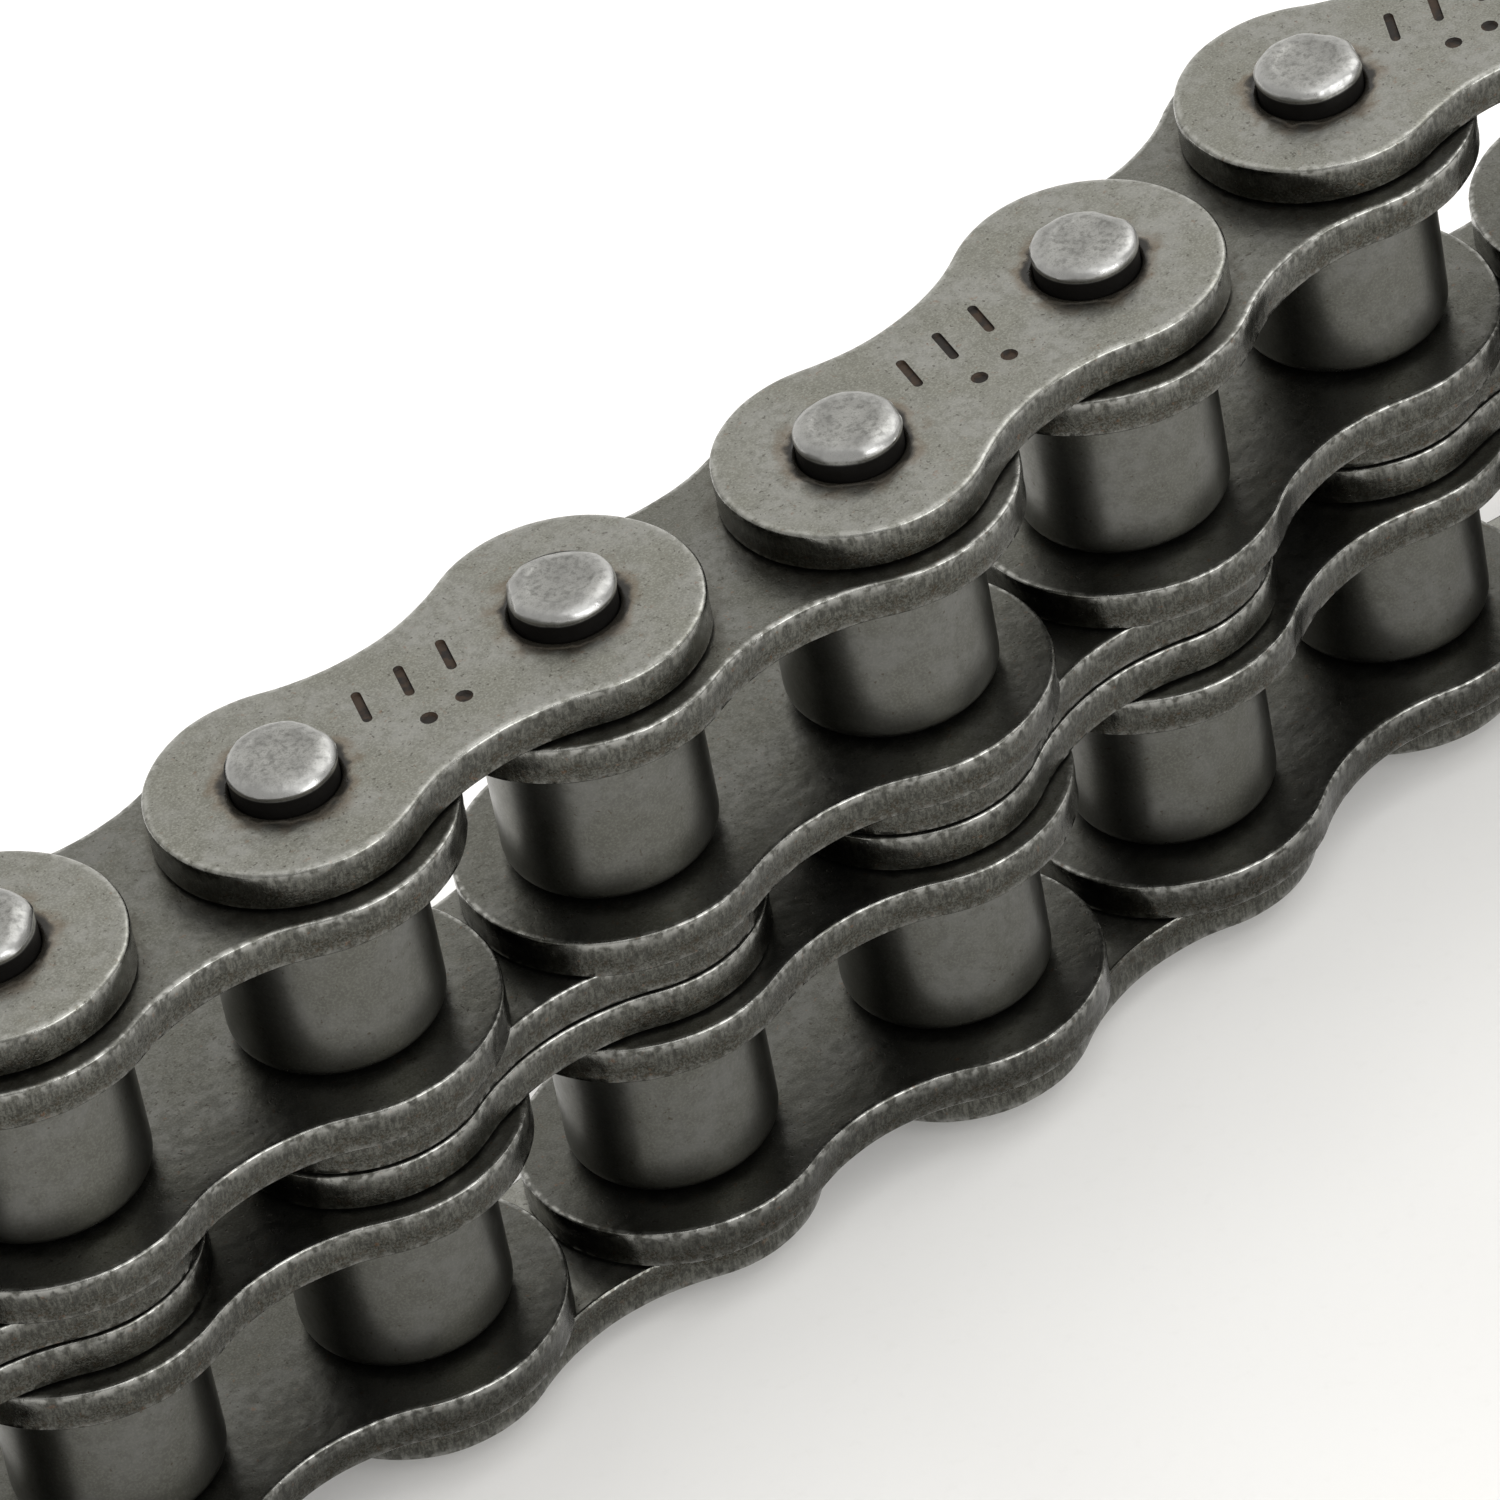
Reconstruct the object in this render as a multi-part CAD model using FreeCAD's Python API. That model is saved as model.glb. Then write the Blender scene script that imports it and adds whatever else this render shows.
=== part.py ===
"""A length of two-strand (duplex) riveted roller chain of 15.875 mm pitch, lying on its side.

Four pin links join five roller links. Both strands of a roller link share the same two pins,
so each link moves as one body, and every roller turns freely on its own bushing.

Millimetres. +Z runs along the pins, and Z = 0 is the flat surface that the lower pin heads
stand on. X and Y are centred on the chain as it lies.
"""

import FreeCAD, Part
import math
import os

# Driving dimensions
PITCH = 15.875
INNER_WIDTH = 9.525  # clear width between the two inner plates of a strand
PLATE = 2.03  # thickness of every plate
PLATE_GAP = 0.1525  # side clearance between neighbouring links' plates
STRAND_SPACING = 18.11  # between the middles of the two strands

INNER_END_RADIUS = 7.545
INNER_WAIST = 11.4  # full height of the plate at its middle
OUTER_END_RADIUS = 6.5
OUTER_WAIST = 9.38

PIN_RADIUS = 2.54
PIN_LENGTH = 38.7
HEAD_RADIUS = 2.74  # the riveted end, spread over the plate
HEAD_CROWN = 0.45  # height of the rounded shoulder of a riveted end
HEAD_DISH_RADIUS = 1.5
HEAD_DISH_DEPTH = 0.22

BUSHING_RADIUS = 3.53
BUSHING_BORE = 2.58
BUSHING_CHAMFER = 0.2

ROLLER_RADIUS = 5.08
ROLLER_BORE = 3.59
ROLLER_LENGTH = 9.3
ROLLER_EDGE = 0.45  # radius of the rolled edge at each end of a roller

CENTER_PLATE_HOLE = 2.56  # the middle plates slip on to the pins; the outer ones are pressed on
PLATE_EDGE = 0.12  # bevel of the plates' rims

# How the chain lies: the heading of each link in degrees, from the first roller link to the
# last. Roller links and pin links take turns.
HEADINGS = [3.0, 0.5, -0.11, 3.95, 0.0, 10.92, 12.21, -5.64, -2.0]

# Places worked out from the dimensions above, as heights over the chain's mid-plane
INNER_FACE = STRAND_SPACING / 2 - INNER_WIDTH / 2 - PLATE  # inner plate nearest the middle
STRAND_WIDTH = INNER_WIDTH + 2 * PLATE
CENTER_FACE = INNER_FACE - PLATE_GAP - PLATE
OUTER_FACE = INNER_FACE + STRAND_WIDTH + PLATE_GAP
MID_PLANE = PIN_LENGTH / 2  # height of the mid-plane over the floor

UP = FreeCAD.Vector(0, 0, 1)
STRANDS = {"upper": 1, "lower": -1}


def pin_places():
    """Points of all pins, one more than there are links, centred in X and Y."""
    points = [FreeCAD.Vector(0, 0, 0)]
    for heading in HEADINGS:
        step = FreeCAD.Vector(PITCH * math.cos(math.radians(heading)), PITCH * math.sin(math.radians(heading)), 0)
        points.append(points[-1] + step)
    xs = [p.x for p in points]
    ys = [p.y for p in points]
    middle = FreeCAD.Vector((min(xs) + max(xs)) / 2, (min(ys) + max(ys)) / 2, 0)
    return [p - middle for p in points]


def plate_wire(end_radius, waist, inset=0.0):
    """Figure-of-eight outline about the link's middle: two round ends and two hollow flanks."""
    half = PITCH / 2
    waist_radius = (half**2 + (waist / 2) ** 2 - end_radius**2) / (2 * end_radius - waist)
    flank_y = waist / 2 + waist_radius
    reach = end_radius + waist_radius
    end_radius = end_radius - inset
    waist_radius = waist_radius + inset
    touch_x = half - end_radius * half / reach
    touch_y = end_radius * flank_y / reach
    low_flank = flank_y - waist_radius
    corners = [
        FreeCAD.Vector(touch_x, touch_y, 0),
        FreeCAD.Vector(-touch_x, touch_y, 0),
        FreeCAD.Vector(-touch_x, -touch_y, 0),
        FreeCAD.Vector(touch_x, -touch_y, 0),
    ]
    middles = [
        FreeCAD.Vector(0, low_flank, 0),
        FreeCAD.Vector(-half - end_radius, 0, 0),
        FreeCAD.Vector(0, -low_flank, 0),
        FreeCAD.Vector(half + end_radius, 0, 0),
    ]
    arcs = [Part.Arc(corners[i], middles[i], corners[(i + 1) % 4]).toShape() for i in range(4)]
    return Part.Wire(arcs)


def bevelled_slab(end_radius, waist):
    """A plate's body with a small bevel round both rims, from Z = 0 up."""
    small = plate_wire(end_radius, waist, PLATE_EDGE)
    full = plate_wire(end_radius, waist)
    levels = [(small, 0), (full, PLATE_EDGE), (full, PLATE - PLATE_EDGE), (small, PLATE)]
    layers = []
    for (low, z_low), (high, z_high) in zip(levels, levels[1:]):
        bottom = low.copy()
        bottom.translate(UP * z_low)
        top = high.copy()
        top.translate(UP * z_high)
        layers.append(Part.makeLoft([bottom, top], True, True))
    return layers[0].fuse(layers[1:]).removeSplitter()


def plate(end_radius, waist, hole_radius):
    """One link plate from Z = 0 up, with its two holes."""
    body = bevelled_slab(end_radius, waist)
    for side in (-1, 1):
        centre = FreeCAD.Vector(side * PITCH / 2, 0, -1)
        body = body.cut(Part.makeCylinder(hole_radius, PLATE + 2, centre))
    return body.Solids[0]


def turned(profile):
    """Solid of revolution about Z from a closed list of (radius, height) corners."""
    points = [FreeCAD.Vector(r, 0, z) for r, z in profile]
    face = Part.Face(Part.makePolygon(points + points[:1]))
    return face.revolve(FreeCAD.Vector(0, 0, 0), UP, 360).Solids[0]


def pin():
    """A pin about the mid-plane, riveted over at both ends, with a shallow dish in each head."""
    end = PIN_LENGTH / 2
    seat = OUTER_FACE + PLATE
    crown = 0.3  # how far the head's top face is drawn in from its rim
    upper = [
        (PIN_RADIUS, seat),
        (HEAD_RADIUS, seat),
        (HEAD_RADIUS, end - HEAD_CROWN),
        (HEAD_RADIUS - crown / 3, end - HEAD_CROWN / 3),
        (HEAD_RADIUS - crown, end),
        (HEAD_DISH_RADIUS, end),
        (0, end - HEAD_DISH_DEPTH),
    ]
    lower = [(r, -z) for r, z in reversed(upper)]
    return turned(lower + upper)


def bushing():
    """A bushing from Z = 0 up, as long as a strand is wide, with a bevel at each end of its bore."""
    profile = [
        (BUSHING_BORE + BUSHING_CHAMFER, 0),
        (BUSHING_RADIUS, 0),
        (BUSHING_RADIUS, STRAND_WIDTH),
        (BUSHING_BORE + BUSHING_CHAMFER, STRAND_WIDTH),
        (BUSHING_BORE, STRAND_WIDTH - BUSHING_CHAMFER),
        (BUSHING_BORE, BUSHING_CHAMFER),
    ]
    return turned(profile)


def roller():
    """A roller about its own middle, with rounded outer edges."""
    tube = Part.makeCylinder(ROLLER_RADIUS, ROLLER_LENGTH, UP * (-ROLLER_LENGTH / 2))
    rims = [e for e in tube.Edges if isinstance(e.Curve, Part.Circle)]
    tube = tube.makeFillet(ROLLER_EDGE, rims)
    bore = Part.makeCylinder(ROLLER_BORE, ROLLER_LENGTH + 2, UP * (-ROLLER_LENGTH / 2 - 1))
    return tube.cut(bore).Solids[0]


def placed(solid, where, height, heading=0.0):
    """A copy of solid turned to a link's heading and put at a height over the mid-plane."""
    copy = solid.copy()
    copy.Placement = FreeCAD.Placement(where + UP * (MID_PLANE + height), FreeCAD.Rotation(UP, heading))
    return copy


def both_faces(offset, thickness):
    """Lower faces of a part at this offset above the mid-plane and of its mirror below it."""
    return {"upper": offset, "lower": -offset - thickness}


def roller_link(name, start, end, heading, made):
    """Inner link: plates and bushings of both strands, and the four rollers that turn on them."""
    middle = (start + end) * 0.5
    strand_bottom = both_faces(INNER_FACE, STRAND_WIDTH)
    bushings = []
    for strand, side in STRANDS.items():
        bottom = strand_bottom[strand]
        pair = [placed(made["inner"], middle, bottom + up, heading) for up in (0, STRAND_WIDTH - PLATE)]
        export(f"{name}_plates_{strand}", pair)
        for which, where in (("a", start), ("b", end)):
            bushings.append(placed(made["bushing"], where, bottom))
            one = placed(made["roller"], where, side * STRAND_SPACING / 2)
            export(f"{name}_roller_{strand}_{which}", [one])
    export(f"{name}_bushings", bushings)


def pin_link(name, start, end, heading, made):
    """Outer link: two outer plates, two plates side by side at the middle, and two pins."""
    middle = (start + end) * 0.5
    for strand in STRANDS:
        outer = placed(made["outer"], middle, both_faces(OUTER_FACE, PLATE)[strand], heading)
        export(f"{name}_outer_plate_{strand}", [outer])
        center = placed(made["center"], middle, both_faces(CENTER_FACE, PLATE)[strand], heading)
        export(f"{name}_center_plate_{strand}", [center])
    for which, where in (("a", start), ("b", end)):
        export(f"{name}_pin_{which}", [placed(made["pin"], where, 0)])


def export(node, solids):
    """Writes one node, which is one solid or a group of separate like solids."""
    shape = solids[0] if len(solids) == 1 else Part.makeCompound(solids)
    shape.exportStep(f"parts/{node}.step")


def main():
    os.makedirs("parts", exist_ok=True)
    made = {
        "inner": plate(INNER_END_RADIUS, INNER_WAIST, BUSHING_RADIUS),
        "outer": plate(OUTER_END_RADIUS, OUTER_WAIST, PIN_RADIUS),
        "center": plate(OUTER_END_RADIUS, OUTER_WAIST, CENTER_PLATE_HOLE),
        "pin": pin(),
        "bushing": bushing(),
        "roller": roller(),
    }
    points = pin_places()
    for i, heading in enumerate(HEADINGS):
        number = i // 2 + 1
        if i % 2:
            pin_link(f"pin_link_{number}", points[i], points[i + 1], heading, made)
        else:
            roller_link(f"roller_link_{number}", points[i], points[i + 1], heading, made)


main()
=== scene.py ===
"""Looks for a length of two-strand riveted roller chain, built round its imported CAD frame.

Every plate, pin, roller and bushing of the frame is replaced by a finer mesh of the same piece,
which rides on the same body. Meshes are worked out in millimetres and stored in metres.
"""

import math
import random

import bpy
from mathutils import Matrix, Vector, noise
from mathutils.geometry import tessellate_polygon


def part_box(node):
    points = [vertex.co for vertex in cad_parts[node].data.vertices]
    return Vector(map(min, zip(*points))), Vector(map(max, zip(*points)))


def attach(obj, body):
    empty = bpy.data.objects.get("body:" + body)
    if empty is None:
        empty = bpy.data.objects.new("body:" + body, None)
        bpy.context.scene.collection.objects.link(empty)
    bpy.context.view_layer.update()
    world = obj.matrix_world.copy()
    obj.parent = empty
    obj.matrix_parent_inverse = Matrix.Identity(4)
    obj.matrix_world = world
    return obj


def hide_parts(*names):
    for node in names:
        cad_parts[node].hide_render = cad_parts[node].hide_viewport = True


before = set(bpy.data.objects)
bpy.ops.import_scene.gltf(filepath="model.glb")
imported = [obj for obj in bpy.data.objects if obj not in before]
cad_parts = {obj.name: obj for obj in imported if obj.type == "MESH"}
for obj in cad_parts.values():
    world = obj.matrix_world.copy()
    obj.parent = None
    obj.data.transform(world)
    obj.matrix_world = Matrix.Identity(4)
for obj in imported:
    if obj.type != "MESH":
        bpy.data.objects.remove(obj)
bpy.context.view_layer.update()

MM = 0.001

# The chain's own sizes, in millimetres
PITCH = 15.875
PLATE = 2.03  # thickness of a plate
INNER_END, INNER_WAIST = 7.545, 11.4  # end radius, and full height at the middle
OUTER_END, OUTER_WAIST = 6.5, 9.38
PIN_RADIUS = 2.54
CENTER_PLATE_HOLE = 2.56
BUSHING_RADIUS, BUSHING_BORE = 3.53, 2.58
BUSHING_BEVEL = 0.2
ROLLER_RADIUS, ROLLER_BORE = 5.08, 3.59
ROLLER_EDGE = 0.85  # radius of the rounded ends of a roller

# Fineness of the meshes
OUTLINE_STEP = 0.16  # spacing of the points along a plate's rim, in millimetres
HOLE_POINTS = 72
ROLLER_POINTS = 160
PIN_POINTS = 96
BUSHING_POINTS = 96

# The plates' punched edges, in millimetres
INNER_ROLL = (0.21, 0.13)  # how far an edge is rolled over: across the face, down the rim
OUTER_ROLL = (0.32, 0.20)  # the same on the outer plates
INNER_TEAR, OUTER_TEAR = 1.0, 0.4  # how uneven the rims are
INNER_WEAR, OUTER_WEAR = 1.0, 0.65  # how bright their edges are worn
HOLE_ROLL = 0.24  # rolled edge of a hole in an outer plate
TIGHT_HOLE_ROLL = 0.1  # and of the holes in the other plates

# The mark stamped on the upper outer plates, in millimetres
STAMP_DEPTH = 0.13
STAMP_TAPER = 0.12  # how much its floor is drawn in
BAR_LENGTH, BAR_WIDTH, BAR_TILT = 2.3, 0.48, 70
BAR_PLACES = [(-2.6, 1.35), (-0.2, 1.35), (2.2, 1.35)]
DOT_RADIUS = 0.42
DOT_PLACES = [(-1.0, -1.6), (1.0, -1.6)]
DOT_POINTS = 14

# The riveted pins, in millimetres. Heights are over the face of the outer plate.
SHANK_RADIUS = 2.50
SHANK_HEIGHTS = (-0.4, 0.1, 0.32)
# Where the wear is near zero, on the head's underside and the shank, the pin is painted near black: oil
# and painted shade.
HEAD = [  # (radius, height, wear) from the head's underside to the middle of its crown
    (2.515, 0.44, 0.0), (2.535, 0.56, 0.08), (2.555, 0.68, 0.4), (2.56, 0.79, 0.9), (2.54, 0.91, 1.0),
    (2.49, 1.01, 1.0), (2.41, 1.10, 0.9), (2.30, 1.17, 0.8), (2.17, 1.225, 0.7), (2.03, 1.265, 0.6),
    (1.88, 1.29, 0.55), (1.72, 1.305, 0.6), (1.62, 1.295, 0.55), (1.52, 1.26, 0.35), (1.40, 1.235, 0.27),
    (1.1, 1.23, 0.27), (0.75, 1.23, 0.3), (0.35, 1.23, 0.3),
]
HEAD_RADIUS = 2.56
CROWN_DISH = 1.215  # height of the middle of the crown
HEAD_LIFT = 0.25  # how much higher the upper heads stand
HEAD_START = 0.4  # the unevenness of a head grows from this height
CROWN_START = 0.9  # and its dents from this one

# The light: strength of the sky, and where it is brightest (azimuth from +X, elevation)
SKY_DIM, SKY_BRIGHT = 0.66, 1.2
BRIGHT_SIDE = (55, 36)
LIGHTS = [  # (name, azimuth, elevation, distance in metres, size in metres, watts)
    ("overhead", -68, 66, 0.9, 0.7, 1.8),
    ("fill", -72, 24, 0.8, 0.5, 2.8),
    ("back", 12, 40, 0.7, 0.45, 1.05),
]

# The camera
CAMERA_TURN = (27.38, 39.6, -11.3)  # degrees: to the right of +Y, below the horizon, roll
CAMERA_DISTANCE = 0.50169  # metres
CAMERA_LENS = 258.1
AIM_OFFSET = (10.37, 4.98)  # millimetres from the first pin of roller_link_3


# ---------------------------------------------------------------- places from the frame

def middle(node):
    """Centre of a CAD node's box, in millimetres."""
    low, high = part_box(node)
    return (Vector(low) + Vector(high)) * (0.5 / MM)


def levels(node):
    """Lowest and highest Z of a CAD node, in millimetres."""
    low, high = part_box(node)
    return low[2] / MM, high[2] / MM


# ---------------------------------------------------------------- mesh helpers

def store(name, vertices, faces, local, masks, seed, smooth_angle=40):
    """A mesh object from points in millimetres, with its local points and masks as attributes."""
    mesh = bpy.data.meshes.new(name)
    mesh.from_pydata([(x * MM, y * MM, z * MM) for x, y, z in vertices], [], faces)
    mesh.validate()
    where = mesh.attributes.new("local", "FLOAT_VECTOR", "POINT")
    where.data.foreach_set("vector", [c for p in local for c in p])
    for key, values in masks.items():
        layer = mesh.attributes.new(key, "FLOAT", "POINT")
        layer.data.foreach_set("value", values)
    mesh.shade_smooth()
    mesh.set_sharp_from_angle(angle=math.radians(smooth_angle))
    piece = bpy.data.objects.new(name, mesh)
    bpy.context.scene.collection.objects.link(piece)
    weighted = piece.modifiers.new("face_normals", "WEIGHTED_NORMAL")
    weighted.keep_sharp = True
    draw = random.Random(seed)
    piece["seed"] = (draw.uniform(-90, 90), draw.uniform(-90, 90), draw.uniform(-90, 90))
    return piece


def bands(rings, faces):
    """Quads between each ring of point numbers and the next one."""
    for low, high in zip(rings, rings[1:]):
        count = len(low)
        for i in range(count):
            j = (i + 1) % count
            faces.append((low[i], low[j], high[j], high[i]))


def sheet_between(loops, points, faces, facing_up):
    """Fills the flat region inside the first loop of point numbers and outside the others."""
    flat = [[Vector((points[k][0], points[k][1], 0)) for k in loop] for loop in loops]
    numbers = [k for loop in loops for k in loop]
    for a, b, c in tessellate_polygon(flat):
        a, b, c = numbers[a], numbers[b], numbers[c]
        pa, pb, pc = points[a], points[b], points[c]
        turn = (pb[0] - pa[0]) * (pc[1] - pa[1]) - (pb[1] - pa[1]) * (pc[0] - pa[0])
        if (turn > 0) != facing_up:
            b, c = c, b
        faces.append((a, b, c))


# ---------------------------------------------------------------- plates

def plate_outline(end_radius, waist):
    """Points (x, y, outward x, outward y) round a plate, anticlockwise."""
    half = PITCH / 2
    flank = (half**2 + (waist / 2) ** 2 - end_radius**2) / (2 * end_radius - waist)
    flank_y = waist / 2 + flank
    swing = math.acos(half / (end_radius + flank))
    round_end = 2 * (math.pi - swing)
    hollow = -(math.pi - 2 * swing)
    arcs = [
        (half, 0, end_radius, swing - math.pi, round_end, 1),
        (0, flank_y, flank, -swing, hollow, -1),
        (-half, 0, end_radius, swing, round_end, 1),
        (0, -flank_y, flank, math.pi - swing, hollow, -1),
    ]
    points = []
    for cx, cy, radius, start, sweep, out in arcs:
        count = round(abs(sweep) * radius / OUTLINE_STEP)
        for i in range(count):
            angle = start + sweep * i / count
            c, s = math.cos(angle), math.sin(angle)
            points.append((cx + radius * c, cy + radius * s, out * c, out * s))
    return points


def rim_section(roll, fall, tear, wear):
    """Rows down a punched plate's rim: (inset, drop, unevenness, edge wear, share of rim colour)."""
    rows = [(roll + 0.1, 0.0, 0.0, 0.0, 0.0)]
    for i in range(1, 6):
        a = math.pi / 2 * i / 5
        inset = roll * (1 - math.sin(a))
        drop = fall * (1 - math.cos(a))
        rows.append((inset, drop, 0.25 + 0.1 * i, 1.0, max(0, i - 2) / 3))
    rows += [
        (0.0, 0.45, 0.5, 0.25, 1.0),
        (0.01, 0.80, 0.7, 0.0, 1.0),
        (0.03, 1.00, 1.4, 0.0, 1.0),
        (0.05, 1.35, 1.8, 0.0, 1.0),
        (0.04, 1.70, 1.8, 0.1, 1.0),
        (0.03, PLATE - 0.09, 1.2, 0.4, 1.0),
        (0.10, PLATE, 0.3, 0.5, 1.0),
        (0.20, PLATE, 0.0, 0.0, 0.0),
    ]
    return [(inset, drop, tear * rough, wear * edge, on_rim)
            for inset, drop, rough, edge, on_rim in rows]


def hole_section(roll):
    """Rows down a hole from its rolled edge: (distance out from the bore, drop, edge wear)."""
    rows = [(roll + 0.35, 0.0, 0.0), (roll + 0.2, 0.01, 0.0), (roll + 0.08, 0.03, 0.0)]
    for a in (0.3, 0.7, 1.1, math.pi / 2):
        rows.append((roll * (1 - math.sin(a)), 0.04 + roll * (1 - math.cos(a)), 0.0))
    return rows + [(0.0, PLATE - 0.08, 0.3), (0.08, PLATE, 0.0)]


INNER_RIM = rim_section(*INNER_ROLL, INNER_TEAR, INNER_WEAR)
OUTER_RIM = rim_section(*OUTER_ROLL, OUTER_TEAR, OUTER_WEAR)
INNER_SHAPE = (INNER_END, INNER_WAIST, INNER_RIM)
CENTER_SHAPE = (OUTER_END, OUTER_WAIST, INNER_RIM)
OUTER_SHAPE = (OUTER_END, OUTER_WAIST, OUTER_RIM)


def bar(cx, cy):
    """Outline of a stamped bar with round ends."""
    points = []
    turn = math.radians(BAR_TILT)
    along = Vector((math.cos(turn), math.sin(turn)))
    for end in (1, -1):
        for i in range(7):
            a = turn + math.pi * (i / 6 - 0.5) + (0 if end > 0 else math.pi)
            points.append(Vector((cx, cy)) + along * end * (BAR_LENGTH - BAR_WIDTH) / 2
                          + Vector((math.cos(a), math.sin(a))) * BAR_WIDTH / 2)
    return points


def dot(cx, cy):
    """Outline of a stamped dot."""
    points = []
    for i in range(DOT_POINTS):
        a = 2 * math.pi * i / DOT_POINTS
        points.append(Vector((cx + DOT_RADIUS * math.cos(a), cy + DOT_RADIUS * math.sin(a))))
    return points


def lot_mark():
    """A plain stamped mark between the pins: three slanted bars over two dots."""
    return [bar(x, y) for x, y in BAR_PLACES] + [dot(x, y) for x, y in DOT_PLACES]


class Points:
    """Points of a plate with how far each is rim, worn edge and stamped pit."""

    def __init__(self):
        self.places = []
        self.masks = {"rim": [], "edge": [], "pit": []}

    def add(self, x, y, z, rim=0.0, edge=0.0, pit=0.0):
        """Adds a point and gives its number."""
        self.places.append((x, y, z))
        self.masks["rim"].append(rim)
        self.masks["edge"].append(edge)
        self.masks["pit"].append(pit)
        return len(self.places) - 1


def rim_shift(x, y, drop, rough, seed):
    """How far a point of the rim is pushed out by the unevenness of the cut."""
    if rough == 0.0:
        return 0.0
    ripple = noise.noise(Vector((x * 2.6, y * 2.6, seed * 7.1 + drop * 0.5)))
    grit = noise.noise(Vector((x * 6.5, y * 6.5, seed * 3.3 + drop * 1.7)))
    wander = noise.noise(Vector((x * 0.5, y * 0.5, seed * 1.9)))
    shift = rough * (0.009 * ripple + 0.006 * grit) + 0.03 * wander
    if 0 < drop < 0.4:
        shift -= 0.05 * rough * max(0.0, ripple)
    return shift


def add_rim(mesh, faces, outline, rim, seed):
    """The rim of a plate; gives its first ring, on the upper face, and its last, on the lower one."""
    rings = []
    for inset, drop, rough, edge, on_rim in rim:
        ring = []
        for x, y, nx, ny in outline:
            out = rim_shift(x, y, drop, rough, seed) - inset
            ring.append(mesh.add(x + nx * out, y + ny * out, PLATE - drop, on_rim, edge))
        rings.append(ring)
    bands(rings[::-1], faces)
    return rings[0], rings[-1]


def add_hole(mesh, faces, centre_x, radius, roll):
    """A round hole with a rolled edge; gives its first and last ring."""
    rings = []
    for out, drop, worn in hole_section(roll):
        ring = []
        for i in range(HOLE_POINTS):
            a = 2 * math.pi * i / HOLE_POINTS
            x = centre_x + (radius + out) * math.cos(a)
            ring.append(mesh.add(x, (radius + out) * math.sin(a), PLATE - drop, 0.0, worn))
        rings.append(ring)
    bands(rings, faces)
    return rings[0], rings[-1]


def add_stamp(mesh, faces, mark):
    """One sunken mark; gives its ring on the upper face."""
    centre = sum(mark, Vector((0, 0))) / len(mark)
    shrunk = [p + (centre - p).normalized() * STAMP_TAPER for p in mark]
    lip = [mesh.add(p.x, p.y, PLATE) for p in mark]
    sunk = [mesh.add(p.x, p.y, PLATE - 0.02, pit=1.0) for p in mark]
    ground = [mesh.add(p.x, p.y, PLATE - STAMP_DEPTH, pit=1.0) for p in shrunk]
    bands([lip, sunk, ground], faces)
    sheet_between([ground], mesh.places, faces, True)
    return lip


def plate(name, at, low, heading, shape, hole_radius, roll, seed, marks=(), turned_over=False):
    """One plate from Z = low up, with its rolled edge up unless it is turned over.

    shape is its end radius, its waist and the section of its rim.
    """
    end_radius, waist, rim = shape
    mesh = Points()
    faces = []
    ends = [add_rim(mesh, faces, plate_outline(end_radius, waist), rim, seed)]
    for side in (-1, 1):
        ends.append(add_hole(mesh, faces, side * PITCH / 2, hole_radius, roll))
    top_loops = [first for first, last in ends] + [add_stamp(mesh, faces, mark) for mark in marks]
    bottom_loops = [last for first, last in ends]
    sheet_between(top_loops, mesh.places, faces, True)
    sheet_between(bottom_loops, mesh.places, faces, False)

    turn = Matrix.Rotation(math.radians(heading), 3, "Z")
    base = Vector((at[0], at[1], low))
    standing = mesh.places
    if turned_over:
        standing = [(x, y, PLATE - z) for x, y, z in standing]
        faces = [face[::-1] for face in faces]
    placed = [tuple(turn @ Vector(p) + base) for p in standing]
    return store(name, placed, faces, mesh.places, mesh.masks, seed)


# ---------------------------------------------------------------- turned pieces

def turned(profile, count, shape=None):
    """Rings of points round Z from (radius, height, wear) rows, and the faces between them."""
    points = []
    wear = []
    rings = []
    for radius, height, worn in profile:
        ring = []
        for i in range(count):
            a = 2 * math.pi * i / count
            p = (radius * math.cos(a), radius * math.sin(a), height)
            if shape:
                p = shape(p)
            points.append(p)
            wear.append(worn)
            ring.append(len(points) - 1)
        rings.append(ring)
    faces = []
    bands(rings, faces)
    return points, wear, rings, faces


def ring_piece(name, at, low, high, lower_rows, middle_rows, count, seed, smooth_angle):
    """A closed ring, the same at both ends, from the rows of its lower end and of its middle."""
    upper_rows = [(radius, -height, worn) for radius, height, worn in reversed(lower_rows)]
    points, wear, rings, faces = turned(lower_rows + middle_rows + upper_rows, count)
    bands([rings[-1], rings[0]], faces)
    centre = Vector((at[0], at[1], (low + high) / 2))
    placed = [tuple(Vector(p) + centre) for p in points]
    return store(name, placed, faces, points, {"edge": wear}, seed, smooth_angle)


def roller(name, at, low, high, seed):
    """A roller: outer skin with rounded ends, end faces and bore."""
    half = (high - low) / 2
    # The wear column marks the rounded ends, which roller_steel darkens: painted shade and grime.
    rows = [(ROLLER_BORE, -half + 0.2, 0.0), (ROLLER_BORE + 0.2, -half, 0.3)]
    for i in range(8):
        a = math.pi / 2 * i / 7
        radius = ROLLER_RADIUS - ROLLER_EDGE * (1 - math.sin(a))
        rows.append((radius, -half + ROLLER_EDGE * (1 - math.cos(a)), 1 - i / 7))
    rows.append((ROLLER_RADIUS, -half + 1.2, 0.0))
    middle_rows = [(ROLLER_RADIUS, 0.0, 0.0)]
    return ring_piece(name, at, low, high, rows, middle_rows, ROLLER_POINTS, seed, 40)


def bushing(name, at, low, high, seed):
    """A bushing, flush with the plates that it is pressed into."""
    half = (high - low) / 2
    rows = [
        (BUSHING_BORE, -half + BUSHING_BEVEL, 0.0),
        (BUSHING_BORE + BUSHING_BEVEL, -half, 0.5),
        (BUSHING_RADIUS - 0.05, -half, 0.5),
        (BUSHING_RADIUS, -half + 0.05, 0.3),
    ]
    return ring_piece(name, at, low, high, rows, [], BUSHING_POINTS, seed, 30)


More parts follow.
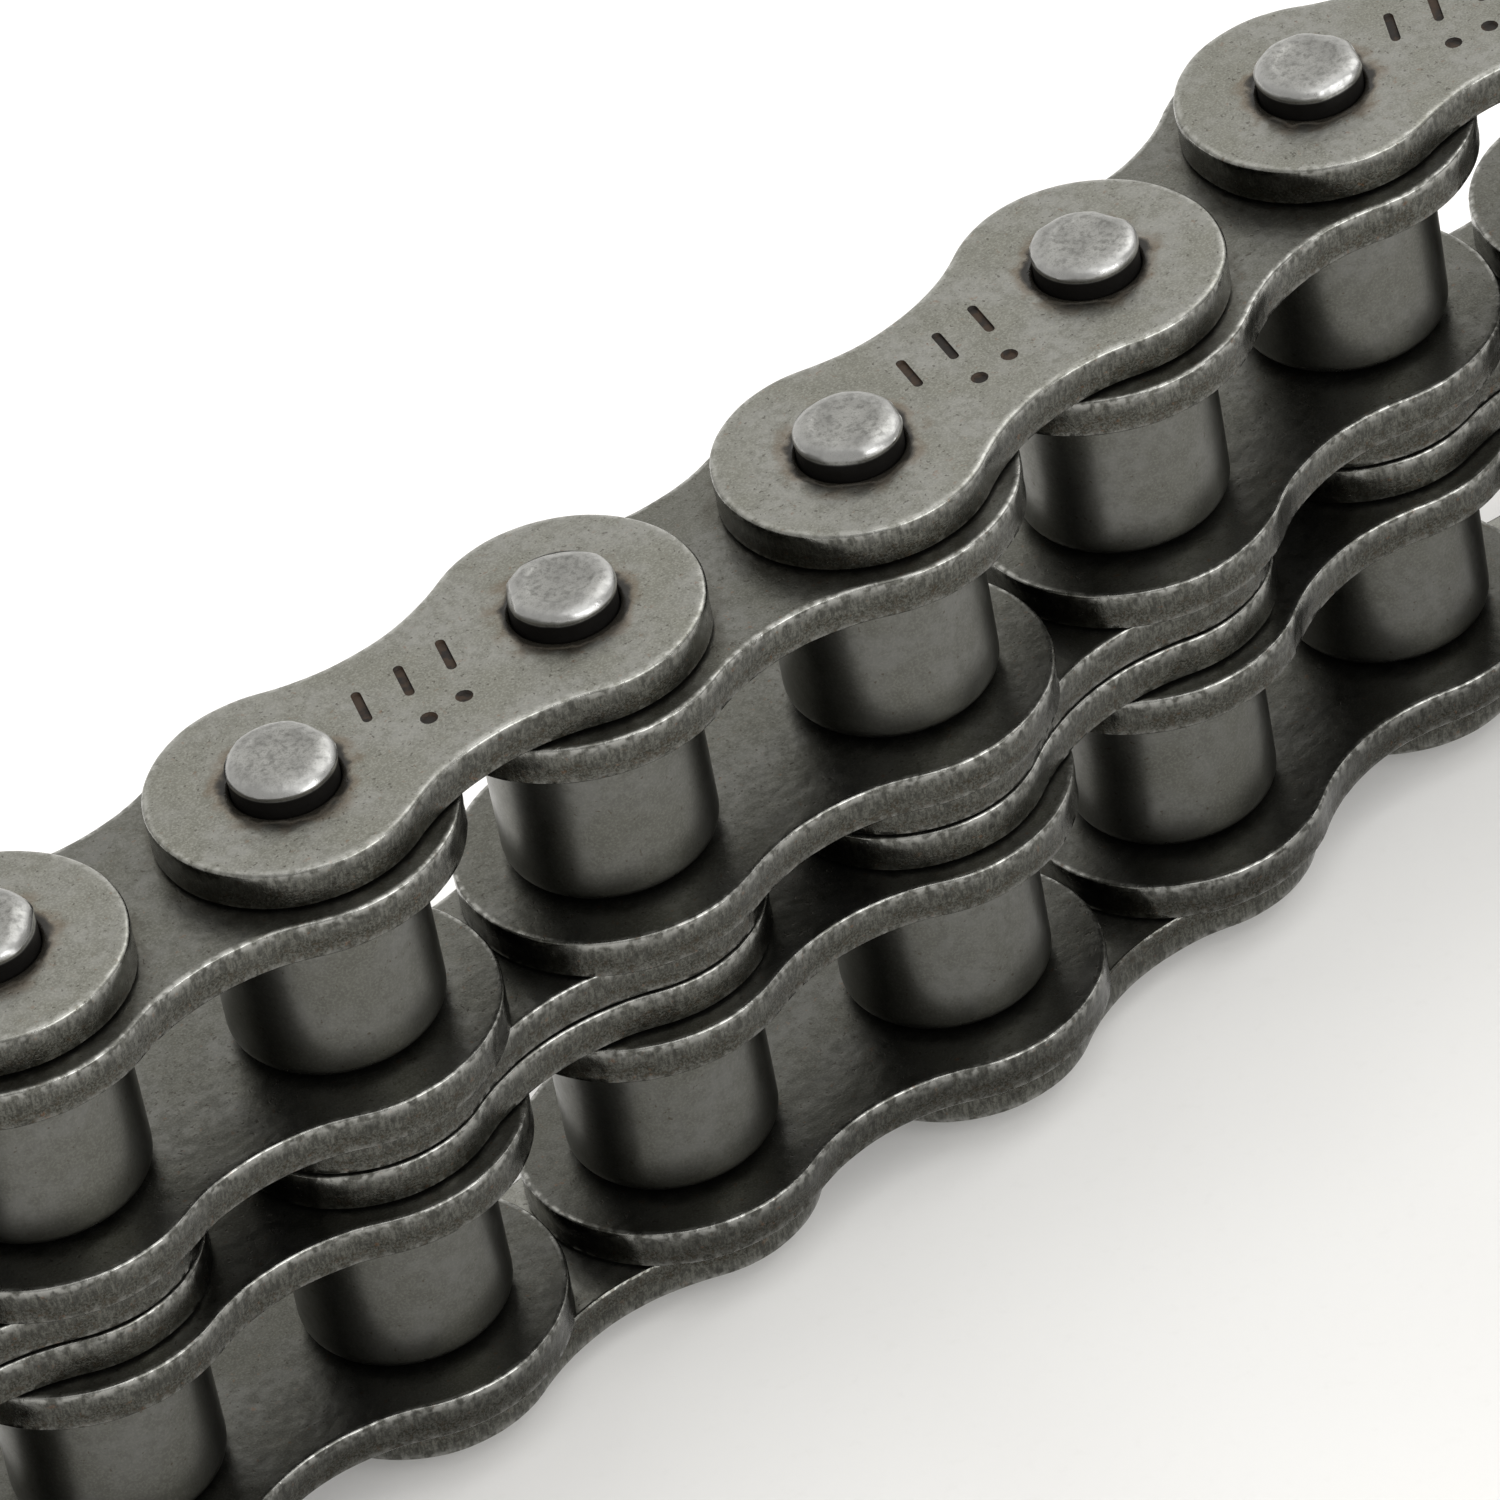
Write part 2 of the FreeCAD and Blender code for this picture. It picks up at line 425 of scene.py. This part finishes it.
def head_rows(seat, lift):
    """Half a pin from its middle to the crown of its riveted head: (radius, height, wear)."""
    rows = [(SHANK_RADIUS, 0.0, 0.0)]
    rows += [(SHANK_RADIUS, seat + height, 0.0) for height in SHANK_HEIGHTS]
    rows += [(radius, seat + lift + height, wear) for radius, height, wear in HEAD]
    return rows


def hammered(seat, seed):
    """A change of shape that makes a riveted head uneven: off-centre, facetted and dented."""
    draw = random.Random(seed)
    off = Vector((draw.uniform(-0.22, 0.22), draw.uniform(-0.22, 0.22)))
    facets = []
    for _ in range(3):
        a = draw.uniform(0, 2 * math.pi)
        facets.append((math.cos(a), math.sin(a), draw.uniform(1.3, 1.9), draw.uniform(0.12, 0.3)))
    flats = [(draw.uniform(0, 2 * math.pi), draw.uniform(2.3, 2.52)) for _ in range(3)]
    phase = draw.uniform(0, 50)

    def width(angle, top):
        """How much wider or narrower the head is towards an angle."""
        around = Vector((math.cos(angle) * 1.3, math.sin(angle) * 1.3, phase))
        swell = 1 + 0.022 * noise.noise(around)
        for direction, reach in flats:
            c = math.cos(angle - direction)
            if c > 0.3:
                swell = min(swell, 1 - top * max(0.0, 1 - reach / c / HEAD_RADIUS))
        return swell

    def dent(x, y):
        """How far the crown is beaten down at a place."""
        drop = 0.0
        for fx, fy, reach, slope in facets:
            drop = max(drop, slope * max(0.0, x * fx + y * fy - reach))
        drop -= 0.026 * noise.noise(Vector((x * 1.5, y * 1.5, phase)))
        drop -= 0.010 * noise.noise(Vector((x * 4.5, y * 4.5, phase + 9)))
        return max(drop, 0.0)

    def shape(p):
        x, y, z = p
        height = abs(z) - seat
        if height < HEAD_START:
            return p
        top = min(1.0, (height - HEAD_START) / 0.5)
        swell = width(math.atan2(y, x), top)
        blend = max(0.0, 1 - max(0.0, math.hypot(x, y) - 1.2) / 1.2) * top
        x = x * swell + off.x * blend
        y = y * swell + off.y * blend
        drop = dent(x, y) if height > CROWN_START else 0.0
        return (x, y, math.copysign(abs(z) - drop, z))

    return shape


def half_pin(seat, lift, seed, side):
    """Points, wear and faces of the upper (side 1) or lower (side -1) half of a pin."""
    rows = [(radius, side * height, wear) for radius, height, wear in head_rows(seat, lift)]
    points, wear, rings, faces = turned(rows, PIN_POINTS, hammered(seat + lift, seed))
    points.append((points[-1][0] * 0.2, points[-1][1] * 0.2, side * (seat + lift + CROWN_DISH)))
    wear.append(0.4)
    last = rings[-1]
    count = len(last)
    faces += [(last[i], last[(i + 1) % count], len(points) - 1) for i in range(count)]
    if side < 0:
        faces = [face[::-1] for face in faces]
    return points, wear, faces


def pin(name, at, low, high, seat, seed):
    """A pin with a riveted head at each end; seat is the outer plates' face over the mid-plane."""
    points, wear, faces = half_pin(seat, HEAD_LIFT, seed, 1)
    lower_points, lower_wear, lower_faces = half_pin(seat, 0.0, seed + 0.5, -1)
    start = len(points)
    faces += [tuple(start + k for k in face) for face in lower_faces]
    points += lower_points
    wear += lower_wear
    centre = Vector((at[0], at[1], (low + high) / 2))
    placed = [tuple(Vector(p) + centre) for p in points]
    return store(name, placed, faces, points, {"edge": wear}, seed, 50)


# ---------------------------------------------------------------- materials

class Nodes:
    """Short ways to add and join shader nodes."""

    def __init__(self, name):
        self.material = bpy.data.materials.new(name)
        self.material.use_nodes = True
        self.tree = self.material.node_tree
        self.shader = self.tree.nodes["Principled BSDF"]

    def put(self, kind, **settings):
        node = self.tree.nodes.new(kind)
        for key, value in settings.items():
            setattr(node, key, value)
        return node

    def join(self, source, target):
        if hasattr(source, "is_linked"):
            self.tree.links.new(source, target)
        else:
            target.default_value = source

    def math(self, operation, a, b=0.0, clamp=False):
        node = self.put("ShaderNodeMath", operation=operation, use_clamp=clamp)
        self.join(a, node.inputs[0])
        self.join(b, node.inputs[1])
        return node.outputs[0]

    def vector(self, operation, a, b):
        node = self.put("ShaderNodeVectorMath", operation=operation)
        self.join(a, node.inputs[0])
        self.join(b, node.inputs[1])
        gives_number = operation in ("DISTANCE", "DOT_PRODUCT")
        return node.outputs[1] if gives_number else node.outputs[0]

    def noise(self, where, scale, detail=3.0, rough=0.55):
        node = self.put("ShaderNodeTexNoise")
        self.join(where, node.inputs["Vector"])
        node.inputs["Scale"].default_value = scale
        node.inputs["Detail"].default_value = detail
        node.inputs["Roughness"].default_value = rough
        return node.outputs["Fac"]

    def ramp(self, value, low, high, out_low=0.0, out_high=1.0):
        """value between low and high becomes out_low to out_high, smoothly, and stops there."""
        node = self.put("ShaderNodeMapRange", interpolation_type="SMOOTHSTEP")
        self.join(value, node.inputs["Value"])
        node.inputs["From Min"].default_value = low
        node.inputs["From Max"].default_value = high
        node.inputs["To Min"].default_value = out_low
        node.inputs["To Max"].default_value = out_high
        return node.outputs["Result"]

    def mask(self, name):
        return self.put("ShaderNodeAttribute", attribute_name=name).outputs["Fac"]

    def place(self):
        """Local millimetres, and the same moved by the piece's own seed."""
        local = self.put("ShaderNodeAttribute", attribute_name="local").outputs["Vector"]
        seed = self.put("ShaderNodeAttribute", attribute_name="seed", attribute_type="OBJECT")
        return local, self.vector("ADD", local, seed.outputs["Vector"])

    def mix(self, share, a, b):
        """Colour a with that share of colour b."""
        node = self.put("ShaderNodeMix", data_type="RGBA")
        self.join(share, node.inputs["Factor"])
        self.join(a, node.inputs["A"])
        self.join(b, node.inputs["B"])
        return node.outputs["Result"]

    def bump(self, height, strength, distance_mm, before=None):
        node = self.put("ShaderNodeBump")
        node.inputs["Strength"].default_value = strength
        node.inputs["Distance"].default_value = distance_mm * MM
        self.join(height, node.inputs["Height"])
        if before is not None:
            self.join(before, node.inputs["Normal"])
        return node.outputs["Normal"]


def grey(value, warmth=0.0):
    """A grey colour, a little yellow-green where warmth is over zero."""
    return (value * (1 + 0.3 * warmth), value * (1 + 0.25 * warmth), value * (1 - warmth), 1.0)


# Near black of oil, and painted shade, in the ring round the foot of each pin head on a plate
PIN_RING_OIL_AND_SHADE = (0.010, 0.009, 0.007, 1.0)
# Near black of oil, and painted shade, on a pin below its head
NECK_OIL_AND_SHADE = (0.005, 0.0045, 0.004, 1.0)
RUST = (0.17, 0.075, 0.03, 1.0)
PIT = (0.05, 0.043, 0.035, 1.0)
BROWN_STAIN = (0.12, 0.075, 0.04, 1.0)
# Painted shade along the edge of the next link's plate, where it lies on an inner plate
PLATE_EDGE_SHADE = (0.035, 0.028, 0.018, 1.0)
DARK_CRUST = (0.012, 0.009, 0.007, 1.0)
BROWN_CRUST = (0.036, 0.022, 0.013, 1.0)
OILY_SPECK = (0.06, 0.048, 0.03, 1.0)


def face_colour(m, moved, mottle, grain, tone):
    """Clouded and mottled grey of a plate's face."""
    cloud = m.noise(moved, 0.32, 3.0)
    face = m.mix(m.ramp(cloud, 0.35, 0.65), grey(tone * 0.85, 0.12), grey(tone * 1.12, 0.06))
    face = m.mix(m.ramp(mottle, 0.4, 0.65, 0.0, 0.7), face, grey(tone * 0.72, 0.12))
    return m.mix(m.ramp(grain, 0.42, 0.68, 0.0, 0.6), face, grey(tone * 1.4, 0.08))


def cut_colour(m, moved, grit, torn, broken, tone):
    """Colours of a rim: sheared and gouged above, broken and rusty below."""
    streak = m.noise(m.vector("MULTIPLY", moved, (1.0, 1.0, 0.22)), 7.0, 4.0, 0.7)
    grain = m.math("ADD", m.math("MULTIPLY", streak, 0.6), m.math("MULTIPLY", grit, 0.4))
    side = m.mix(m.ramp(grain, 0.40, 0.60), grey(tone * 0.45, 0.1), grey(tone * 1.02, 0.1))
    gouges = m.noise(m.vector("MULTIPLY", moved, (1.0, 1.0, 0.5)), 3.2, 2.0, 0.5)
    side = m.mix(m.ramp(gouges, 0.5, 0.62, 0.0, 0.6), side, grey(tone * 0.32, 0.1))
    rubble = m.mix(m.ramp(grit, 0.38, 0.62), grey(tone * 0.28, 0.15), grey(tone * 0.8, 0.1))
    brown = (tone * 0.42, tone * 0.34, tone * 0.24, 1.0)
    rubble = m.mix(m.ramp(torn, 0.48, 0.66, 0.0, 0.8), rubble, brown)
    return m.mix(broken, side, rubble)


def distance_to_pin(m, local):
    """Distance from the axis of the nearer pin, along the plate's face."""
    folded = m.vector("ABSOLUTE", local, (0.0, 0.0, 0.0))
    flat = m.vector("MULTIPLY", folded, (1.0, 1.0, 0.0))
    return m.vector("DISTANCE", flat, (PITCH / 2, 0.0, 0.0))


def speckled(m, colour, moved, pits):
    """Colour with dark pits everywhere and a few specks of rust."""
    colour = m.mix(m.math("MULTIPLY", pits, 0.6), colour, PIT)
    rusty = m.noise(m.vector("ADD", moved, (31.0, 7.0, 3.0)), 2.3, 3.0, 0.6)
    return m.mix(m.math("MULTIPLY", m.ramp(rusty, 0.64, 0.74), 0.35), colour, RUST)


def soiled_and_shaded(m, colour, moved, reach, oil_and_shade, shade_under_edge, rim):
    """Colour with a brown stain round the pins, a dark ring of oil and painted shade at the pins, and
    painted shade where the next plate's edge lies.
    """
    uneven = m.math("ADD", reach, m.ramp(m.noise(moved, 0.9, 3.0), 0.3, 0.7, -0.45, 0.45))
    colour = m.mix(m.ramp(uneven, 2.9, 3.8, 0.45, 0.0), colour, BROWN_STAIN)
    # Near black ring round each pin: oil, and painted shade at the foot of the pin head.
    colour = m.mix(m.math("MULTIPLY", oil_and_shade, 0.95), colour, PIN_RING_OIL_AND_SHADE)
    # Painted shade along the line where the next link's plate edge lies, kept off the rim.
    off_edge = m.math("ABSOLUTE", m.math("SUBTRACT", uneven, OUTER_END))
    edge_shade_share = m.math("MULTIPLY", m.ramp(off_edge, 0.1, 0.7, shade_under_edge, 0.0), m.math("SUBTRACT", 1.0, rim))
    return m.mix(edge_shade_share, colour, PLATE_EDGE_SHADE)


def plate_steel(name, tone, cut_tone, shade_under_edge=0.0):
    """Tumbled grey plate steel with a sheared and broken rim, a ring of oil and painted shade round the
    pins, and specks of rust.

    tone is the face's, cut_tone the rim's. The last argument is how dark the painted shade is that lies
    along the edge of the next link's plate.
    """
    m = Nodes(name)
    local, moved = m.place()
    rim = m.mask("rim")
    edge = m.mask("edge")
    pit = m.mask("pit")
    mottle = m.noise(moved, 1.7, 4.0, 0.6)
    grain = m.noise(moved, 9.0, 2.0, 0.6)
    grit = m.noise(moved, 9.0, 3.0, 0.7)
    torn = m.noise(moved, 3.6, 4.0, 0.7)
    pits = m.ramp(m.noise(moved, 4.6, 2.0, 0.5), 0.64, 0.71)
    height = m.vector("DOT_PRODUCT", local, (0.0, 0.0, 1.0))
    wavy = m.math("ADD", height, m.ramp(m.noise(moved, 0.8, 3.0), 0.3, 0.7, -0.3, 0.3))
    broken = m.ramp(wavy, 0.7, 1.1, 1.0, 0.0)
    reach = distance_to_pin(m, local)
    ragged = m.math("ADD", reach, m.ramp(m.noise(moved, 0.9, 2.0), 0.3, 0.7, -0.16, 0.16))
    # A dark ring round each pin: oil, and painted shade at the foot of the pin head.
    oil_and_shade = m.ramp(ragged, 2.82, 3.18, 1.0, 0.0)
    worn = m.ramp(m.noise(moved, 2.2, 2.0, 0.5), 0.38, 0.62, 0.1, 1.0)
    worn = m.math("MULTIPLY", edge, worn)

    face = face_colour(m, moved, mottle, grain, tone)
    colour = m.mix(rim, face, cut_colour(m, moved, grit, torn, broken, cut_tone))
    colour = speckled(m, colour, moved, pits)
    colour = soiled_and_shaded(m, colour, moved, reach, oil_and_shade, shade_under_edge, rim)
    crust = m.mix(m.ramp(m.noise(moved, 1.5, 3.0, 0.6), 0.42, 0.6), DARK_CRUST, BROWN_CRUST)
    colour = m.mix(pit, colour, crust)
    colour = m.mix(m.math("MULTIPLY", worn, 0.6), colour, grey(0.5, 0.04))
    m.join(colour, m.shader.inputs["Base Color"])

    rough = m.ramp(mottle, 0.3, 0.7, 0.29, 0.38)
    rough = m.math("SUBTRACT", rough, m.math("MULTIPLY", rim, 0.1))
    rough = m.math("SUBTRACT", rough, m.math("MULTIPLY", worn, 0.06))
    rough = m.math("SUBTRACT", rough, m.math("MULTIPLY", oil_and_shade, 0.1), clamp=True)
    m.join(m.math("ADD", rough, m.math("MULTIPLY", pit, 0.3)), m.shader.inputs["Roughness"])
    m.shader.inputs["Specular IOR Level"].default_value = 0.25
    covered = m.math("MAXIMUM", oil_and_shade, pit)
    metal = m.math("SUBTRACT", 1.0, m.math("MULTIPLY", covered, 0.95), clamp=True)
    m.join(metal, m.shader.inputs["Metallic"])

    skin = m.math("ADD", m.math("MULTIPLY", mottle, 0.5), m.math("MULTIPLY", grain, 0.35))
    skin = m.math("SUBTRACT", skin, m.math("MULTIPLY", pits, 0.5))
    normal = m.bump(skin, 0.3, 0.04)
    relief = m.math("MULTIPLY", rim, m.math("ADD", 0.25, m.math("MULTIPLY", broken, 0.75)))
    sheared = m.math("MULTIPLY", m.math("ADD", m.math("MULTIPLY", grit, 0.5), torn), relief)
    normal = m.bump(sheared, 0.2, 0.035, normal)
    swells = m.math("MULTIPLY", m.noise(moved, 0.55, 2.0), m.math("SUBTRACT", 1.0, rim))
    m.join(m.bump(swells, 0.25, 0.25, normal), m.shader.inputs["Normal"])
    return m.material


def turned_steel(name, tone, roughness, end_shade_and_wear_tone):
    """Satin steel of a roller or bushing: faint turning marks, mottle and small oily specks, with ends
    in their own tone: on the rollers darker, painted shade and grime where they meet the plates; on the
    bushings lighter with wear.
    """
    m = Nodes(name)
    moved = m.place()[1]
    edge = m.mask("edge")
    cloud = m.noise(moved, 0.28, 3.0)
    mottle = m.noise(moved, 1.3, 4.0, 0.6)
    grain = m.noise(moved, 8.0, 2.0, 0.6)
    rings = m.noise(m.vector("MULTIPLY", moved, (0.12, 0.12, 1.0)), 6.0, 3.0, 0.6)
    specks = m.ramp(m.noise(moved, 3.4, 2.0, 0.5), 0.68, 0.75)
    colour = m.mix(m.ramp(cloud, 0.35, 0.65), grey(tone * 0.86, 0.1), grey(tone * 1.1, 0.05))
    colour = m.mix(m.ramp(mottle, 0.4, 0.65, 0.0, 0.6), colour, grey(tone * 0.75, 0.1))
    colour = m.mix(m.ramp(grain, 0.42, 0.68, 0.0, 0.5), colour, grey(tone * 1.35, 0.08))
    colour = m.mix(m.math("MULTIPLY", specks, 0.6), colour, OILY_SPECK)
    # Ends in their own tone: on the rollers dark, painted shade and grime where they meet the plates; on
    # the bushings lighter with wear.
    colour = m.mix(m.math("MULTIPLY", edge, 0.7), colour, grey(end_shade_and_wear_tone, 0.02))
    m.join(colour, m.shader.inputs["Base Color"])

    worn = m.math("MULTIPLY", edge, m.ramp(m.noise(moved, 2.0, 3.0), 0.35, 0.65))
    rough = m.math("ADD", m.ramp(mottle, 0.3, 0.7, roughness - 0.02, roughness + 0.03),
                   m.ramp(rings, 0.35, 0.65, -0.01, 0.01))
    rough = m.math("SUBTRACT", rough, m.math("MULTIPLY", worn, 0.1), clamp=True)
    m.join(rough, m.shader.inputs["Roughness"])
    m.shader.inputs["Metallic"].default_value = 1.0

    height = m.math("ADD", m.math("MULTIPLY", mottle, 0.12), m.math("MULTIPLY", rings, 0.2))
    height = m.math("ADD", height, m.math("MULTIPLY", grain, 0.15))
    m.join(m.bump(height, 0.06, 0.02), m.shader.inputs["Normal"])
    return m.material


def pin_steel(name):
    """Bright steel of a hammered pin head, with darker dents, painted near black below the head: oil and
    painted shade.
    """
    m = Nodes(name)
    moved = m.place()[1]
    edge = m.mask("edge")
    cloud = m.noise(moved, 0.7, 3.0)
    dents = m.noise(moved, 3.0, 4.0, 0.6)
    grain = m.noise(moved, 11.0, 2.0, 0.6)
    colour = m.mix(m.ramp(cloud, 0.3, 0.7), grey(0.225, 0.04), grey(0.31, 0.04))
    colour = m.mix(m.ramp(dents, 0.45, 0.68, 0.0, 0.75), colour, grey(0.14, 0.05))
    colour = m.mix(m.ramp(grain, 0.5, 0.7, 0.0, 0.5), colour, grey(0.10, 0.05))
    colour = m.mix(m.math("MULTIPLY", m.ramp(edge, 0.4, 1.0), 0.6), colour, grey(0.5, 0.01))
    # Below the head the steel is painted near black: oil and painted shade.
    below = m.ramp(edge, 0.03, 0.25, 1.0, 0.0)
    colour = m.mix(below, colour, NECK_OIL_AND_SHADE)
    m.join(colour, m.shader.inputs["Base Color"])
    rough = m.math("SUBTRACT", m.ramp(dents, 0.3, 0.7, 0.32, 0.46), m.ramp(edge, 0.5, 1.0, 0.0, 0.06))
    m.join(m.math("ADD", rough, m.math("MULTIPLY", below, 0.1)), m.shader.inputs["Roughness"])
    m.join(m.math("SUBTRACT", 1.0, below, clamp=True), m.shader.inputs["Metallic"])
    m.shader.inputs["Specular IOR Level"].default_value = 0.1
    height = m.math("ADD", m.math("MULTIPLY", dents, 0.6), m.math("MULTIPLY", grain, 0.25))
    m.join(m.bump(height, 0.5, 0.055), m.shader.inputs["Normal"])
    return m.material


def finished(piece, material, slot, body, *nodes):
    """Gives a piece its material and its body, and hides the CAD node that it stands for."""
    piece.data.materials.append(material)
    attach(piece, body)
    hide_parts(*nodes)


# ---------------------------------------------------------------- the chain

OUTER_STEEL = plate_steel("plate_steel_outer", 0.21, 0.125)
CENTER_STEEL = plate_steel("plate_steel_center", 0.13, 0.12)
# The same inner plate steel in four tones: the bottom plate of each strand darker than the top one, the
# lowest plates darkest, as painted shade.
INNER_STEELS = {
    # The upper top inner plates get painted shade along the edge of the outer plate over them.
    ("upper", "top"): plate_steel("plate_steel_inner_1", 0.13, 0.13, 0.3),
    ("upper", "bottom"): plate_steel("plate_steel_inner_2", 0.118, 0.118),
    ("lower", "top"): plate_steel("plate_steel_inner_3", 0.125, 0.118),
    ("lower", "bottom"): plate_steel("plate_steel_inner_4", 0.092, 0.092),
}
# Roller ends darkened: painted shade and grime where they meet the plates. Bushing ends lighter: wear.
ROLLER_STEEL = turned_steel("roller_steel", 0.132, 0.31, 0.045)
BUSHING_STEEL = turned_steel("bushing_steel", 0.22, 0.36, 0.3)
PIN_STEEL = pin_steel("pin_steel")


def heading_between(start, end):
    return math.degrees(math.atan2(end.y - start.y, end.x - start.x))


def dress_roller_link(link, seed):
    """Plates, bushings and rollers of both strands of one roller link."""
    start = middle(f"{link}_roller_upper_a")
    end = middle(f"{link}_roller_upper_b")
    heading = heading_between(start, end)
    centre = (start + end) / 2
    for strand in ("upper", "lower"):
        group = f"{link}_plates_{strand}"
        bottom, top = levels(group)
        for place, low in (("bottom", bottom), ("top", top - PLATE)):
            seed += 1
            piece = plate(f"{link}_plate_{strand}_{place}", centre, low, heading, INNER_SHAPE,
                          BUSHING_RADIUS, TIGHT_HOLE_ROLL, seed)
            finished(piece, INNER_STEELS[strand, place], "plate_steel", link, group)
        for which, at in (("a", start), ("b", end)):
            seed += 1
            piece = bushing(f"{link}_bushing_{strand}_{which}", at, bottom, top, seed)
            finished(piece, BUSHING_STEEL, "bushing_steel", link, f"{link}_bushings")
            node = f"{link}_roller_{strand}_{which}"
            low, high = levels(node)
            seed += 1
            piece = roller(f"{node}_skin", at, low, high, seed)
            finished(piece, ROLLER_STEEL, "roller_steel", node, node)


def dress_pin_link(link, seed):
    """Outer plates, middle plates and pins of one pin link."""
    start = middle(f"{link}_pin_a")
    end = middle(f"{link}_pin_b")
    heading = heading_between(start, end)
    centre = (start + end) / 2
    for strand in ("upper", "lower"):
        node = f"{link}_outer_plate_{strand}"
        seed += 1
        marks = lot_mark() if strand == "upper" else ()
        piece = plate(f"{node}_skin", centre, levels(node)[0], heading, OUTER_SHAPE,
                      PIN_RADIUS, HOLE_ROLL, seed, marks, strand == "lower")
        finished(piece, OUTER_STEEL, "plate_steel", link, node)
        node = f"{link}_center_plate_{strand}"
        seed += 1
        piece = plate(f"{node}_skin", centre, levels(node)[0], heading, CENTER_SHAPE,
                      CENTER_PLATE_HOLE, TIGHT_HOLE_ROLL, seed)
        finished(piece, CENTER_STEEL, "plate_steel", link, node)
    face = levels(f"{link}_outer_plate_upper")[1]
    for which, at in (("a", start), ("b", end)):
        node = f"{link}_pin_{which}"
        bottom, top = levels(node)
        seed += 1
        piece = pin(f"{node}_skin", at, bottom, top, face - (bottom + top) / 2, seed)
        finished(piece, PIN_STEEL, "pin_steel", link, node)


for number in range(1, 6):
    dress_roller_link(f"roller_link_{number}", 100 * number)
for number in range(1, 5):
    dress_pin_link(f"pin_link_{number}", 1000 + 100 * number)


# ---------------------------------------------------------------- floor, light and camera

PAPER, LIGHT_PAPER = (0.69, 0.682, 0.669, 1.0), (0.725, 0.72, 0.707, 1.0)
FIBRE = (0.63, 0.62, 0.60, 1.0)
FLOOR_HALF = 3.0  # metres


def pale_paper():
    """White paper that glows a little, more so behind the chain: painted light that lifts the chain's
    shadow in front and brightens the floor behind it.
    """
    m = Nodes("pale_paper")
    where = m.put("ShaderNodeTexCoord").outputs["Object"]
    fibre = m.noise(where, 900.0, 4.0, 0.65)
    cloud = m.noise(where, 25.0, 2.0)
    colour = m.mix(m.ramp(cloud, 0.3, 0.7), PAPER, LIGHT_PAPER)
    colour = m.mix(m.ramp(fibre, 0.55, 0.75, 0.0, 0.2), colour, FIBRE)
    m.join(colour, m.shader.inputs["Base Color"])
    m.shader.inputs["Roughness"].default_value = 0.85
    m.join(m.bump(fibre, 0.25, 0.08), m.shader.inputs["Normal"])
    # Painted light: the paper glows, faintly in front of the chain and more strongly behind it.
    behind = m.vector("DOT_PRODUCT", where, (0.0, 1.0, 0.0))
    m.shader.inputs["Emission Color"].default_value = (1.0, 0.99, 0.97, 1.0)
    m.join(m.ramp(behind, -0.002, 0.04, 0.12, 0.44), m.shader.inputs["Emission Strength"])
    return m.material


def floor():
    corners = [(-1, -1), (1, -1), (1, 1), (-1, 1)]
    mesh = bpy.data.meshes.new("floor")
    mesh.from_pydata([(x * FLOOR_HALF, y * FLOOR_HALF, 0) for x, y in corners], [], [(0, 1, 2, 3)])
    mesh.materials.append(pale_paper())
    ground = bpy.data.objects.new("floor", mesh)
    bpy.context.scene.collection.objects.link(ground)


def towards(azimuth, elevation):
    """Unit vector to a place in the sky; azimuth is anticlockwise from +X."""
    a, e = math.radians(azimuth), math.radians(elevation)
    return Vector((math.cos(e) * math.cos(a), math.cos(e) * math.sin(a), math.sin(e)))


def area_light(name, direction, distance, size, power, target):
    """A square soft light, a distance from its target."""
    data = bpy.data.lights.new(name, "AREA")
    data.size = size
    data.energy = power
    light = bpy.data.objects.new(name, data)
    light.location = target + direction * distance
    light.rotation_euler = direction.to_track_quat("Z", "Y").to_euler()
    bpy.context.scene.collection.objects.link(light)


def white_tent(dim, bright, direction):
    """A soft sky that brightens smoothly from dim to bright towards one direction."""
    world = bpy.data.worlds.new("white_tent")
    world.use_nodes = True
    tree = world.node_tree
    where = tree.nodes.new("ShaderNodeTexCoord")
    facing = tree.nodes.new("ShaderNodeVectorMath")
    facing.operation = "DOT_PRODUCT"
    facing.inputs[1].default_value = direction
    strength = tree.nodes.new("ShaderNodeMapRange")
    strength.interpolation_type = "SMOOTHSTEP"
    strength.inputs["From Min"].default_value = 0.2
    strength.inputs["From Max"].default_value = 1.0
    strength.inputs["To Min"].default_value = dim
    strength.inputs["To Max"].default_value = bright
    background = tree.nodes["Background"]
    background.inputs["Color"].default_value = (1.0, 0.99, 0.965, 1.0)
    tree.links.new(where.outputs["Generated"], facing.inputs[0])
    tree.links.new(facing.outputs["Value"], strength.inputs["Value"])
    tree.links.new(strength.outputs["Result"], background.inputs["Strength"])
    bpy.context.scene.world = world


def camera(aim):
    """A long lens that looks down along the chain, rolled a little."""
    heading, dip, roll = CAMERA_TURN
    data = bpy.data.cameras.new("camera")
    data.lens = CAMERA_LENS
    data.sensor_width = 36.0
    data.clip_start = 0.01
    eye = bpy.data.objects.new("camera", data)
    turn = (Matrix.Rotation(math.radians(-heading), 3, "Z")
            @ Matrix.Rotation(math.radians(90 - dip), 3, "X")
            @ Matrix.Rotation(math.radians(roll), 3, "Z"))
    eye.rotation_euler = turn.to_euler()
    eye.location = aim - turn @ Vector((0, 0, -1)) * CAMERA_DISTANCE
    bpy.context.scene.collection.objects.link(eye)
    bpy.context.scene.camera = eye


first_pin = middle("roller_link_3_roller_upper_a")
mid_height = sum(levels("pin_link_1_pin_a")) / 2
aim = Vector((first_pin.x + AIM_OFFSET[0], first_pin.y + AIM_OFFSET[1], mid_height)) * MM

bpy.context.scene.view_settings.view_transform = "Standard"
floor()
white_tent(SKY_DIM, SKY_BRIGHT, towards(*BRIGHT_SIDE))
for name, azimuth, elevation, distance, size, power in LIGHTS:
    area_light(name, towards(azimuth, elevation), distance, size, power, aim)
camera(aim)
